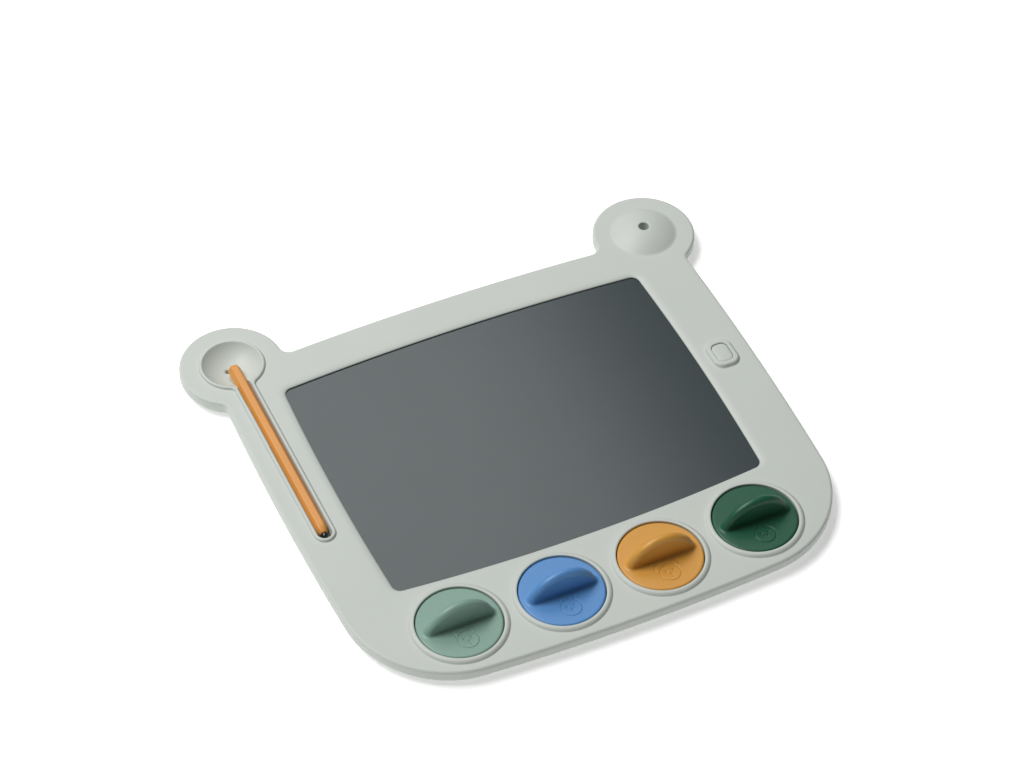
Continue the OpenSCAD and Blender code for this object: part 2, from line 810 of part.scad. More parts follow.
front_housing();
rear_cover();
housing_screws();
screen_tape();
writing_film();
black_sheet();
support_plate();
flex_tail();
control_board();
board_screws();
flex_connector();
controller_chip();
chip_capacitors();
switch_body();
switch_plunger();
erase_button();
battery_holder();
contact_minus();
contact_plus();
coin_cell();
lead_red();
lead_black();
battery_door();
door_screws();
stylus_barrel();
stylus_tip();
stamp_cap_mint();
stamp_cap_blue();
stamp_cap_ochre();
stamp_cap_green();
stamp_die_mint();
stamp_die_blue();
stamp_die_ochre();
stamp_die_green();
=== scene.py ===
"""Looks of the kids drawing tablet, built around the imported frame. Shapes are worked out in millimetres."""
import json
import math

import bmesh
import bpy
import numpy as np
from mathutils import Matrix, Vector, geometry


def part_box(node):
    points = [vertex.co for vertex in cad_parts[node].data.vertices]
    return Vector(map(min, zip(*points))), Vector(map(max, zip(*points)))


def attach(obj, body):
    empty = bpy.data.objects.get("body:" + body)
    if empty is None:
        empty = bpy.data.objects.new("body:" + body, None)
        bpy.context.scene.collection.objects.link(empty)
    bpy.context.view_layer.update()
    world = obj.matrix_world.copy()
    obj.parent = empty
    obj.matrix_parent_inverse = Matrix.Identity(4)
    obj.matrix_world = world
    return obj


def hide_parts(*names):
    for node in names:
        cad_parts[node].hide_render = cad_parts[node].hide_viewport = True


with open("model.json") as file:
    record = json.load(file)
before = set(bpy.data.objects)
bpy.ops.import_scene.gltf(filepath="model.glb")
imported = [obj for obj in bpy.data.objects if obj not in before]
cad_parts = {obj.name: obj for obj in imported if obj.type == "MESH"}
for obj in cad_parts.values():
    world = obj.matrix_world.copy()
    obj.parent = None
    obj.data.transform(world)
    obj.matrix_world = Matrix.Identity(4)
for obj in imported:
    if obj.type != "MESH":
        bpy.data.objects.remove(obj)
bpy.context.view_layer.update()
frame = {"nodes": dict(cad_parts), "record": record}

MM = 0.001
BODY = "tablet_body"


def box_mm(node):
    """Lowest and highest corner of a CAD node, in millimetres."""
    low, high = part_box(node)
    return np.array(low) / MM, np.array(high) / MM


# ---------- driving dimensions, from the frame ----------
HOUSING_LOW, HOUSING_HIGH = box_mm("front_housing")
FILM_HIGH = box_mm("writing_film")[1]
BUTTON_LOW, BUTTON_HIGH = box_mm("erase_button")
BARREL_LOW, BARREL_HIGH = box_mm("stylus_barrel")
TIP_LOW = box_mm("stylus_tip")[0]
CAP_LOW, CAP_HIGH = box_mm("stamp_cap_mint")
MOUNTS = {m["name"]: np.array(m["pos_m"]) / MM for m in frame["record"]["mounts"]}

EAR = MOUNTS["hang_hole"][:2]
CORD = MOUNTS["cord_hole"][:2]
BOWL = EAR * [-1, 1]
EAR_R = HOUSING_HIGH[1] - EAR[1]

# front face, its underside, the lower edge of the outer wall and that wall's thickness
TOP_Z = 10.0
PLATE_Z = TOP_Z - 1.8
SKIRT_Z = 4.0
WALL = 2.0

# body outline: bowed sides, top and bottom; _Y and HALF_W are where the bows stand out most
HALF_W = 130.5
SIDE_Y = 8.0
SIDE_R = 1750.0
TOP_Y = 101.9
TOP_R = 1450.0
BOTTOM_Y = HOUSING_LOW[1]
BOTTOM_R = 1230.0
CORNER_R = 55.0
EAR_BLEND_R = 5.0
EDGE_R = 1.5
SKIRT_R = 1.3

# screen opening: the film reaches under the bezel by its lap, in a pocket a little wider
FILM_LAP = 3.0
FILM_TOP = FILM_HIGH[2]
BEZEL_Z = FILM_TOP + 0.3
POCKET_LAP = FILM_LAP + 0.4
WINDOW_TOP_Y = FILM_HIGH[1] - FILM_LAP
WINDOW_TOP_R = 1360.0
WINDOW_BOTTOM_Y = -71.8
WINDOW_BOTTOM_R = 1000.0
WINDOW_HALF_W = 100.9
WINDOW_SIDE_Y = 5.0
WINDOW_SIDE_R = 1370.0
WINDOW_CORNER_R = 4.5

# soft roll from the face down to the window, narrower beside the stamps by ROLL_NARROW of its width
ROLL_W = 4.2
ROLL_H = TOP_Z - BEZEL_Z - 0.15
ROLL_NARROW = 0.3
NARROW_FROM_Y = -55
NARROW_OVER = 15

# stamps and their wells
STAMPS = ("mint", "blue", "ochre", "green")
STAMP_R = (CAP_HIGH[0] - CAP_LOW[0]) / 2
CAP_Z = CAP_LOW[2]
CAP_WALL = 1.85
CAP_TOP_T = 1.8
STAMP_TOP = TOP_Z + 1.0
STAMP_TURNS = 96
DISC_EDGE_R = 1.0
GRIP_H = CAP_HIGH[2] - STAMP_TOP
GRIP_HALF_L = 17.9
GRIP_T = 5.0
GRIP_DRAFT = 0.04
GRIP_SIDE_H = 3.0
GRIP_CREST_GAP = 0.03
FACE_Y = -11.0
FACE_SCALE = 1.12
FACE_LINE = 0.36
FACE_GRID = 0.2
WELL_R = STAMP_R + 0.45
WELL_FLOOR = 3.8
WELL_WALL = 1.6
WELL_BOTTOM = WELL_FLOOR - 1.4

# stylus: a hexagon with round corners and a cone at its nose
STYLUS_Z = (BARREL_LOW[2] + BARREL_HIGH[2]) / 2
STYLUS_TURNS = 72
STYLUS_APOTHEM = 3.0
STYLUS_CORNER_R = 0.55
NOSE_R = 1.95
NOSE_BORE_R = 1.45
CONE_L = 5.5
CONE_BULGE = 0.35

# stylus slot, bowl, dome
SLOT_X = (BARREL_LOW[0] + BARREL_HIGH[0]) / 2
SLOT_HALF_W = 3.7
SLOT_END_Y = TIP_LOW[1] + 1.8
SLOT_FLOOR = 4.4
BED_T = 1.4
BED_INSET = 0.35
SLOT_WALL = 1.6
SLOT_BOTTOM = SLOT_FLOOR - BED_T
LIP_EDGE = TOP_Z + 0.76
KEEPER_Y = (43.0, 72.0)
KEEPER_T = 0.2
BOWL_R = 15.0
BOWL_D = LIP_EDGE - SLOT_FLOOR
BOWL_S = (BOWL_R ** 2 + BOWL_D ** 2) / (2 * BOWL_D)
BOWL_Z = SLOT_FLOOR + BOWL_S
CORD_R = 1.25
CORD_TUBE_R = CORD_R + 1.95
DOME_R = 17.0
DOME_H = 5.0
DOME_S = (DOME_R ** 2 + DOME_H ** 2) / (2 * DOME_H)
DOME_Z = TOP_Z + DOME_H - DOME_S
DOME_T = 1.8
HANG_R = 2.7
TUBE_T = 1.6

# erase button and its collar
BUTTON = (BUTTON_LOW + BUTTON_HIGH)[:2] / 2
FLANGE = 1.0
FLANGE_T = 0.8
BUTTON_W, BUTTON_L = (BUTTON_HIGH - BUTTON_LOW)[:2] - 2 * FLANGE
BUTTON_C = 3.2
BUTTON_EDGE_R = 0.9
BUTTON_CROWN = 0.15
BUTTON_GAP = 0.12
COLLAR_W = 14.6
COLLAR_L = 19.0
COLLAR_C = 5.5
COLLAR_H = 1.8

# screws that hold the halves together
SCREWS = [(s * x, y) for s in (-1, 1) for x, y in ((98, 92.5), (34, 92.5), (108, -98), (52.7, -119))]
SCREWS += [(116, 62), (-116, -36)]
BOSS_R = 3.0
BOSS_Z = 3.7
PILOT_R = 1.15
PILOT_TOP = 7.6

# profiles of soft edges, as (outwards, upwards) from an outline on the front face
RING_PROFILE = ((3.2, 0), (3.0, 0.07), (2.8, 0.25), (2.55, 0.6), (2.2, 0.95), (1.8, 1.26), (1.35, 1.45),
                (0.85, 1.5), (0.4, 1.47), (0.12, 1.3), (0, 1.05))
LIP_OUTSIDE = ((2.45, 0), (2.15, 0.06), (2.0, 0.2), (1.9, 0.5), (1.7, 0.85), (1.35, 1.15), (0.95, 1.28),
               (0.6, 1.26))
LIP_INSIDE = ((0.33, 1.13), (0.14, 0.93), (0, LIP_EDGE - TOP_Z))
COLLAR_PROFILE = ((0.6, 0), (0.3, 0.05), (0.05, 0.2), (-0.2, 0.55), (-0.45, 1.0), (-0.75, 1.4),
                  (-1.1, 1.66), (-1.5, 1.78))
# foot of a stamp's grip, as (height, spread)
GRIP_FOOT = ((0, 1.6), (0.05, 1.2), (0.18, 0.84), (0.42, 0.5), (0.8, 0.24), (1.3, 0.08), (2.0, 0))
# side of the stylus channel: height above its floor at distances from its edge line
CHANNEL_OUT = (-0.4, -0.15, 0, 0.1, 0.35)
CHANNEL_RISE = (0, 0.05, 0.3, 0.9, 9)


# ---------- outlines: lists of arcs, so that every offset of one outline has the same points ----------
def meet(a, ra, b, rb, side):
    """Crossing point of two circles."""
    a, b = np.array(a, float), np.array(b, float)
    d = np.linalg.norm(b - a)
    u = (b - a) / d
    along = (d * d + ra * ra - rb * rb) / (2 * d)
    across = math.sqrt(max(ra * ra - along * along, 0))
    return a + along * u + side * across * np.array([-u[1], u[0]])


def angle(a, b):
    return math.atan2(b[1] - a[1], b[0] - a[0])


def arc(centre, radius, start, end, count):
    """Points along an arc, without its last one."""
    t = np.linspace(start, end, count, endpoint=False)
    return np.c_[centre[0] + radius * np.cos(t), centre[1] + radius * np.sin(t)]


def mirrored_loop(half, grow):
    """Closed loop from the arcs of its right half, top centre to bottom centre, moved outwards by grow."""
    points = [arc(c, r + grow * sign, a, b, n) for c, r, a, b, sign, n in half]
    centre, radius, _, end, sign, _ = half[-1]
    points.append(arc(centre, radius + grow * sign, end, end, 1))
    right = np.vstack(points)
    return np.vstack([right, right[1:-1][::-1] * [-1, 1]])


def turn(start, end, clockwise):
    """End angle that is reached from start in the given direction."""
    while clockwise and end > start:
        end -= 2 * math.pi
    while not clockwise and end < start:
        end += 2 * math.pi
    return end


def body_half():
    top = (0, TOP_Y - TOP_R)
    side = (HALF_W - SIDE_R, SIDE_Y)
    bottom = (0, BOTTOM_Y + BOTTOM_R)
    blend_top = meet(top, TOP_R + EAR_BLEND_R, EAR, EAR_R + EAR_BLEND_R, 1)
    blend_side = meet(EAR, EAR_R + EAR_BLEND_R, side, SIDE_R + EAR_BLEND_R, 1)
    corner = meet(side, SIDE_R - CORNER_R, bottom, BOTTOM_R - CORNER_R, -1)
    a = angle(top, blend_top)
    arcs = [(top, TOP_R, math.pi / 2, a, 1, 12)]
    b = angle(blend_top, top)
    c = turn(b, angle(blend_top, EAR), False)
    arcs.append((blend_top, EAR_BLEND_R, b, c, -1, 8))
    d = angle(EAR, blend_top)
    e = turn(d, angle(EAR, blend_side), True)
    arcs.append((EAR, EAR_R, d, e, 1, 72))
    f = angle(blend_side, EAR)
    g = turn(f, angle(blend_side, side), False)
    arcs.append((blend_side, EAR_BLEND_R, f, g, -1, 8))
    arcs.append((side, SIDE_R, angle(side, blend_side), angle(side, corner), 1, 20))
    arcs.append((corner, CORNER_R, angle(side, corner), angle(bottom, corner), 1, 36))
    arcs.append((bottom, BOTTOM_R, angle(bottom, corner), -math.pi / 2, 1, 12))
    return arcs


def window_half():
    top = (0, WINDOW_TOP_Y - WINDOW_TOP_R)
    side = (WINDOW_HALF_W - WINDOW_SIDE_R, WINDOW_SIDE_Y)
    bottom = (0, WINDOW_BOTTOM_Y + WINDOW_BOTTOM_R)
    r = WINDOW_CORNER_R
    k = meet(side, WINDOW_SIDE_R - r, top, WINDOW_TOP_R - r, 1)
    m = meet(side, WINDOW_SIDE_R - r, bottom, WINDOW_BOTTOM_R - r, -1)
    return [
        (top, WINDOW_TOP_R, math.pi / 2, angle(top, k), 1, 24),
        (k, r, angle(top, k), angle(side, k), 1, 10),
        (side, WINDOW_SIDE_R, angle(side, k), angle(side, m), 1, 24),
        (m, r, angle(side, m), angle(bottom, m), 1, 10),
        (bottom, WINDOW_BOTTOM_R, angle(bottom, m), -math.pi / 2, 1, 24),
    ]


BODY_HALF = body_half()
WINDOW_HALF = window_half()


def body_loop(inset):
    return mirrored_loop(BODY_HALF, -inset)


def window_loop(grow):
    return mirrored_loop(WINDOW_HALF, grow)


def ring(centre, radius, count=96):
    return arc(centre, radius, 0, 2 * math.pi, count)


def rounded(centre, w, l, r, count=12):
    """Rectangle with round corners, count + 1 points a corner."""
    corners = ((1, 1, 0), (-1, 1, 1), (-1, -1, 2), (1, -1, 3))
    points = []
    for sx, sy, k in corners:
        c = (centre[0] + sx * (w / 2 - r), centre[1] + sy * (l / 2 - r))
        t = np.linspace(k, k + 1, count + 1) * math.pi / 2
        points.append(np.c_[c[0] + r * np.cos(t), c[1] + r * np.sin(t)])
    return np.vstack(points)


def slot_loop(grow, bowl_r=BOWL_R, blend_r=5.0, keeper=0.0):
    """Bowl circle and slot in one outline with hollow curves between them, moved outwards by grow."""
    ends = []
    for s in (-1, 1):
        x = SLOT_X + s * (SLOT_HALF_W + blend_r)
        y = BOWL[1] - math.sqrt((bowl_r + blend_r) ** 2 - (x - BOWL[0]) ** 2)
        ends.append((x, y))
    left, right = ends
    a = angle(BOWL, right)
    b = turn(a, angle(BOWL, left), False)
    points = [arc(BOWL, bowl_r + grow, a, b, 72)]
    points.append(arc(left, blend_r - grow, angle(left, BOWL), 0, 8))
    k0, k1 = KEEPER_Y
    steps = [(y, 0) for y in np.linspace(left[1], k1 + 1.5, 6)] + [(k1, keeper)]
    steps += [(y, keeper) for y in np.linspace(k1, k0, 8)[1:-1]] + [(k0, keeper), (k0 - 1.5, 0)]
    steps += [(y, 0) for y in np.linspace(k0 - 1.5, SLOT_END_Y, 20)[1:-1]]
    half = SLOT_HALF_W + grow
    points.append(np.array([(SLOT_X - half + k, y) for y, k in steps]))
    points.append(arc((SLOT_X, SLOT_END_Y), half, math.pi, 2 * math.pi, 16))
    points.append(np.array([(SLOT_X + half, y) for y in np.linspace(SLOT_END_Y, right[1], 36)[:-1]]))
    points.append(arc(right, blend_r - grow, math.pi, turn(math.pi, angle(right, BOWL), True), 8))
    return np.vstack(points)


# ---------- closed surfaces ----------
def inside(points, loops):
    """Which points lie in an odd number of the loops."""
    odd = np.zeros(len(points), bool)
    for loop in loops:
        for (x0, y0), (x1, y1) in zip(loop, np.roll(loop, -1, 0)):
            cross = (y0 > points[:, 1]) != (y1 > points[:, 1])
            if cross.any():
                x = x0 + (points[:, 1] - y0) * (x1 - x0) / (y1 - y0 if y1 != y0 else 1)
                odd ^= cross & (points[:, 0] < x)
    return odd


class Surface:
    """Points and faces of one closed piece, in millimetres."""

    def __init__(self):
        self.points = []
        self.faces = []

    def loop(self, xy, z):
        start = len(self.points)
        heights = np.broadcast_to(z, len(xy))
        self.points += [(x, y, h) for (x, y), h in zip(xy, heights)]
        return list(range(start, len(self.points)))

    def wall(self, a, b):
        n = len(a)
        self.faces += [(a[i], a[(i + 1) % n], b[(i + 1) % n], b[i]) for i in range(n)]

    def stack(self, shapes, first=None):
        """Walls through a list of (outline, z); returns the first and the last loop."""
        start = last = first
        for xy, z in shapes:
            new = self.loop(xy, z)
            if last is not None:
                self.wall(last, new)
            start = new if start is None else start
            last = new
        return start, last

    def fill(self, loops, height=None, extra=()):
        """Triangles between closed loops, through extra points that take their z from height."""
        index = [i for loop in loops for i in loop]
        xy = [self.points[i][:2] for i in index]
        edges, k = [], 0
        for loop in loops:
            n = len(loop)
            edges += [(k + i, k + (i + 1) % n) for i in range(n)]
            k += n
        outlines = [np.array([self.points[i][:2] for i in loop]) for loop in loops]
        if len(extra):
            extra = np.array(extra)
            extra = extra[inside(extra, outlines)]
            index += self.loop(extra, height(extra[:, 0], extra[:, 1]))
            xy += [tuple(p) for p in extra]
        verts, _, faces, origin, _, _ = geometry.delaunay_2d_cdt(
            [Vector(p) for p in xy], edges, [], 0, 1e-5)
        tris = np.array([f for f in faces if len(f) == 3])
        flat = np.array([v[:] for v in verts])
        keep = inside(flat[tris].mean(1), outlines)
        source = [o[0] for o in origin]
        self.faces += [tuple(index[source[v]] for v in tri) for tri in tris[keep]]

    def build(self, name, sharp=40.0):
        mesh = bpy.data.meshes.new(name)
        mesh.from_pydata([tuple(c * MM for c in p) for p in self.points], [], self.faces)
        work = bmesh.new()
        work.from_mesh(mesh)
        bmesh.ops.remove_doubles(work, verts=work.verts, dist=2e-6)
        bmesh.ops.dissolve_degenerate(work, edges=work.edges, dist=1e-7)
        bmesh.ops.recalc_face_normals(work, faces=work.faces)
        work.to_mesh(mesh)
        work.free()
        for face in mesh.polygons:
            face.use_smooth = True
        mesh.set_sharp_from_angle(angle=math.radians(sharp))
        piece = bpy.data.objects.new(name, mesh)
        bpy.context.scene.collection.objects.link(piece)
        weighted = piece.modifiers.new("weighted_normals", "WEIGHTED_NORMAL")
        weighted.keep_sharp = True
        return piece


def quarter(count, start=0):
    """Angles along a quarter turn."""
    return [math.pi / 2 * k / count for k in range(start, count + 1)]


def quarter_round(radius, count):
    """(inset, drop) steps over a round edge, from the flat face to the upright side."""
    return [(radius * (1 - math.sin(t)), radius * (1 - math.cos(t))) for t in quarter(count)]


# ---------- front housing ----------
def bowl_height(x, y, ball_r, floor, half_w, end_y):
    """Height of the stylus bed: the lower of the bowl and of the steep-sided channel."""
    d2 = (x - BOWL[0]) ** 2 + (y - BOWL[1]) ** 2
    bowl = BOWL_Z - np.sqrt(np.maximum(ball_r ** 2 - d2, 1e-6))
    along = np.clip(y, SLOT_END_Y, end_y)
    out = np.hypot(x - SLOT_X, y - along) - half_w
    channel = floor + np.interp(out, CHANNEL_OUT, CHANNEL_RISE)
    return np.minimum(bowl, channel)


def bed_points(half_w, end_y, bowl_r, step):
    """Rows of points along the channel's edges and over the bowl."""
    points = []
    for out in (0.5 - half_w, -0.45, -0.15, 0, 0.1, 0.22, 0.32, 0.7):
        r = half_w + out
        ys = np.arange(SLOT_END_Y, end_y, step)
        points += [(SLOT_X + s * r, y) for y in ys for s in (-1, 1)]
        turns = np.linspace(0, math.pi, 15)
        points += [(SLOT_X + r * math.cos(t), end_y + r * math.sin(t)) for t in turns]
        points += [(SLOT_X + r * math.cos(t), SLOT_END_Y - r * math.sin(t)) for t in turns[1:-1]]
    for radius in np.arange(2.2, bowl_r - 0.3, 1.0):
        count = max(12, int(2 * math.pi * radius))
        ring_points = ring(BOWL, radius, count)
        along = np.clip(ring_points[:, 1], SLOT_END_Y, end_y)
        out = np.hypot(ring_points[:, 0] - SLOT_X, ring_points[:, 1] - along) - half_w
        points += [tuple(p) for p, o in zip(ring_points, out) if o > 1.1]
    return points


def front_housing():
    s = Surface()
    top_holes, under_holes = [], []

    # outer wall with its two round edges, then the inside of the wall
    rim = [(body_loop(inset), TOP_Z - drop) for inset, drop in quarter_round(EDGE_R, 6)]
    rim += [(body_loop(inset), SKIRT_Z + rise) for inset, rise in reversed(quarter_round(SKIRT_R, 5))]
    rim += [(body_loop(WALL), SKIRT_Z), (body_loop(WALL), PLATE_Z)]
    top_outer, under_outer = s.stack(rim)

    # screen opening: soft roll down to the bezel edge, pocket underneath
    def roll_loop(grow):
        loop = window_loop(grow)
        near_stamps = np.clip((NARROW_FROM_Y - loop[:, 1]) / NARROW_OVER, 0, 1)
        return loop + np.c_[np.zeros(len(loop)), near_stamps * ROLL_NARROW * grow]

    roll = [(roll_loop(ROLL_W * out), TOP_Z - ROLL_H * drop) for out, drop in quarter_round(1, 8)]
    pocket = window_loop(POCKET_LAP)
    roll += [(window_loop(0), BEZEL_Z), (pocket, BEZEL_Z), (pocket, PLATE_Z)]
    first, last = s.stack(roll)
    top_holes.append(first)
    under_holes.append(last)

    # four wells, each with a raised ring
    for name in STAMPS:
        low, high = box_mm("stamp_cap_" + name)
        c = ((low + high) / 2)[:2]
        shapes = [(ring(c, WELL_R + r), TOP_Z + h) for r, h in RING_PROFILE]
        shapes += [(ring(c, WELL_R), WELL_FLOOR + 0.5), (ring(c, WELL_R - 0.5), WELL_FLOOR),
                   (ring(c, WELL_R - 0.9), WELL_FLOOR)]
        first, last = s.stack(shapes)
        top_holes.append(first)
        s.fill([last])
        cup = WELL_R + WELL_WALL
        shapes = [(ring(c, cup + 0.5), PLATE_Z), (ring(c, cup), PLATE_Z - 0.5)]
        shapes += [(ring(c, cup), WELL_BOTTOM + 0.6), (ring(c, cup - 0.6), WELL_BOTTOM)]
        first, last = s.stack(shapes)
        under_holes.append(first)
        s.fill([last])

    # lip round slot and bowl, then the stylus bed with the cord hole
    lip = [(slot_loop(out), TOP_Z + h) for out, h in LIP_OUTSIDE]
    lip += [(slot_loop(out, keeper=KEEPER_T), TOP_Z + h) for out, h in LIP_INSIDE]
    first, rim_in = s.stack(lip)
    top_holes.append(first)
    bed_half_w = SLOT_HALF_W - BED_INSET
    bed_end_y = BARREL_HIGH[1] - 3.6

    def bed(x, y):
        return np.minimum(bowl_height(x, y, BOWL_S, SLOT_FLOOR, bed_half_w, bed_end_y), LIP_EDGE)

    hole_xy = ring(CORD, CORD_R, 24)
    rounding = ring(CORD, CORD_R + 0.35, 24)
    edge = s.loop(rounding, bed(rounding[:, 0], rounding[:, 1]))
    s.fill([rim_in, edge], bed, bed_points(bed_half_w, bed_end_y, BOWL_R, 0.8))

    under_half_w = SLOT_HALF_W + SLOT_WALL
    under_ball = BOWL_S + BED_T
    under_bowl_r = math.sqrt(under_ball ** 2 - (BOWL_Z - PLATE_Z) ** 2)

    def under_bed(x, y):
        h = bowl_height(x, y, under_ball, SLOT_BOTTOM, under_half_w - BED_INSET, bed_end_y)
        return np.minimum(h, PLATE_Z)

    under_rim = s.loop(slot_loop(SLOT_WALL, under_bowl_r - SLOT_WALL), PLATE_Z)
    under_holes.append(under_rim)
    tube_xy = ring(CORD, CORD_TUBE_R, 24)
    shapes = [(hole_xy, bed(hole_xy[:, 0], hole_xy[:, 1]) - 0.3), (hole_xy, 0.2)]
    shapes += [(ring(CORD, CORD_R + 0.2, 24), 0), (ring(CORD, CORD_TUBE_R - 0.3, 24), 0)]
    shapes += [(tube_xy, 0.3), (tube_xy, under_bed(tube_xy[:, 0], tube_xy[:, 1]))]
    _, tube_top = s.stack(shapes, edge)
    under_points = bed_points(under_half_w - BED_INSET, bed_end_y, under_bowl_r, 2.0)
    s.fill([under_rim, tube_top], under_bed, under_points)

    # dome on the other ear, with the hanging hole through it
    def dome_z(r, shell=0.0):
        return DOME_Z + math.sqrt((DOME_S - shell) ** 2 - r * r)

    shapes = [(ring(EAR, 17.9), TOP_Z), (ring(EAR, 17.4), TOP_Z + 0.05), (ring(EAR, 17.0), TOP_Z + 0.17),
              (ring(EAR, 16.6), dome_z(16.6) + 0.07), (ring(EAR, 16.1), dome_z(16.1) + 0.01)]
    shapes += [(ring(EAR, r), dome_z(r)) for r in (15.6, 14, 12, 10, 8, 6, 4.5, 3.5)]
    shapes += [(ring(EAR, 3.05), dome_z(3.05) - 0.06), (ring(EAR, 2.82), dome_z(2.8) - 0.22)]
    shapes += [(ring(EAR, HANG_R), dome_z(HANG_R) - 0.55), (ring(EAR, HANG_R), 0.3)]
    shapes += [(ring(EAR, HANG_R + 0.3), 0), (ring(EAR, HANG_R + TUBE_T - 0.3), 0)]
    shapes += [(ring(EAR, HANG_R + TUBE_T), 0.3)]
    shapes += [(ring(EAR, r), dome_z(r, DOME_T)) for r in (HANG_R + TUBE_T, 7, 10, 13, 15.5)]
    shapes += [(ring(EAR, 15.5), PLATE_Z)]
    first, last = s.stack(shapes)
    top_holes.append(first)
    under_holes.append(last)

    # collar round the erase button
    hole_w = BUTTON_W + 2 * BUTTON_GAP
    hole_l = BUTTON_L + 2 * BUTTON_GAP
    hole_c = BUTTON_C + BUTTON_GAP

    def collar(grow):
        return rounded(BUTTON, COLLAR_W + 2 * grow, COLLAR_L + 2 * grow, COLLAR_C + grow)

    def hole(grow):
        return rounded(BUTTON, hole_w + 2 * grow, hole_l + 2 * grow, hole_c + grow)

    shapes = [(collar(out), TOP_Z + h) for out, h in COLLAR_PROFILE]
    top = TOP_Z + COLLAR_H
    shapes += [(hole(0.45), top), (hole(0.2), top - 0.05), (hole(0.05), top - 0.2), (hole(0), top - 0.4)]
    shapes += [(hole(0), PLATE_Z)]
    first, last = s.stack(shapes)
    top_holes.append(first)
    under_holes.append(last)

    # screw bosses under the face
    for p in SCREWS:
        first, last = s.stack([(ring(p, BOSS_R + 0.4, 32), PLATE_Z), (ring(p, BOSS_R, 32), PLATE_Z - 0.4),
                               (ring(p, BOSS_R, 32), BOSS_Z), (ring(p, PILOT_R, 32), BOSS_Z),
                               (ring(p, PILOT_R, 32), PILOT_TOP)])
        under_holes.append(first)
        s.fill([last])

    s.fill([top_outer] + top_holes)
    s.fill([under_outer] + under_holes)
    return s.build("front_housing_shell")


# ---------- stamps ----------
def stroke(points, step=0.3):
    """Points along a polyline at an even step."""
    points = np.array(points, float)
    rows = []
    for a, b in zip(points[:-1], points[1:]):
        count = max(1, int(round(np.linalg.norm(b - a) / step)))
        rows.append(a + (b - a) * np.linspace(0, 1, count, endpoint=False)[:, None])
    rows.append(points[-1:])
    return np.vstack(rows)


def face_strokes(kind):
    """Own simple animal faces, as strokes: 0 cat, 1 rabbit, 2 bear, 3 chick."""
    head_r = 4.6
    t = np.linspace(0, 2 * math.pi, 60)
    strokes = [stroke(np.c_[head_r * np.cos(t), head_r * np.sin(t)])]
    both = []
    dots = [(1.7, 0.7, 0.35), (-1.7, 0.7, 0.35)]
    if kind == 0:
        both.append([(4.3, 1.7), (4.7, 6.4), (1.3, 4.5)])
    if kind == 1:
        a = np.linspace(0, math.pi, 12)
        top = [(2 + 1.15 * math.cos(k), 6.6 + 1.15 * math.sin(k)) for k in a]
        both.append([(3.15, 3.5)] + top + [(0.85, 4.6)])
    if kind == 2:
        a = np.linspace(-0.75, 2.3, 20)
        both.append([(3.9 + 1.9 * math.cos(k), 3.9 + 1.9 * math.sin(k)) for k in a])
    if kind == 3:
        strokes.append(stroke([(-1, -0.6), (1, -0.6), (0, -2.3), (-1, -0.6)]))
        strokes.append(stroke([(-0.4, 4.6), (0.2, 6.6), (1.1, 6.9)]))
    else:
        dots.append((0, -1, 0.45))
        strokes.append(stroke([(0, -1), (0, -2.6)]))
    for line in both:
        line = np.array(line)
        strokes.append(stroke(line))
        strokes.append(stroke(line * [-1, 1]))
    return strokes, dots


def grip_loop(centre, h, spread):
    """Outline of the grip at height h: a half moon with a fully round edge, wider all round by spread."""
    moon_r = (GRIP_HALF_L ** 2 + GRIP_H ** 2) / (2 * GRIP_H)
    above = h - (GRIP_H - moon_r)
    half_t = GRIP_T / 2
    core = moon_r - half_t
    limit = min(1.0, max(-1.0, (above - core) / half_t))
    most = math.acos(limit) if limit > 0 else math.pi / 2
    phi = np.linspace(-most, most, 13)
    reach = np.sqrt(np.maximum((core + half_t * np.cos(phi)) ** 2 - above ** 2, 0))
    x = reach + spread * np.cos(phi)
    y = (half_t * (1 + GRIP_DRAFT * (1 - 2 * h / GRIP_H)) + spread) * np.sin(phi)
    side = np.linspace(1, -1, 17)[1:-1]
    back = np.c_[x[-1] * side, np.full(len(side), y[-1])]
    return np.vstack([np.c_[x, y], back, np.c_[-x[::-1], y[::-1]], back * -1]) + centre


def engraving(kind, centre):
    """Height of the disc's top with the face cut into it, and the grid points that its lines need."""
    strokes, dots = face_strokes(kind)
    lines = np.vstack(strokes) * FACE_SCALE + centre
    dots = [(np.array(d[:2]) * FACE_SCALE + centre, d[2] * FACE_SCALE) for d in dots]

    def distance(points, share):
        """To the nearest line or dot; a dot is solid out to this share of its radius."""
        near = np.min(np.linalg.norm(points[:, None] - lines[None], axis=2), axis=1)
        for at, radius in dots:
            near = np.minimum(near, np.maximum(np.linalg.norm(points - at, axis=1) - share * radius, 0))
        return near

    def height(x, y):
        off = np.clip(distance(np.c_[x, y], 1) / FACE_LINE, 0, 1)
        return STAMP_TOP - FACE_LINE / 2 * (1 + np.cos(np.pi * off))

    xs = np.arange(-7.2, 7.21, FACE_GRID)
    ys = np.arange(-6.2, 9.4, FACE_GRID)
    grid = np.array([(x, y) for y in ys for x in xs]) + centre
    return height, grid[distance(grid, 0.5) < FACE_LINE + 1.5 * FACE_GRID]


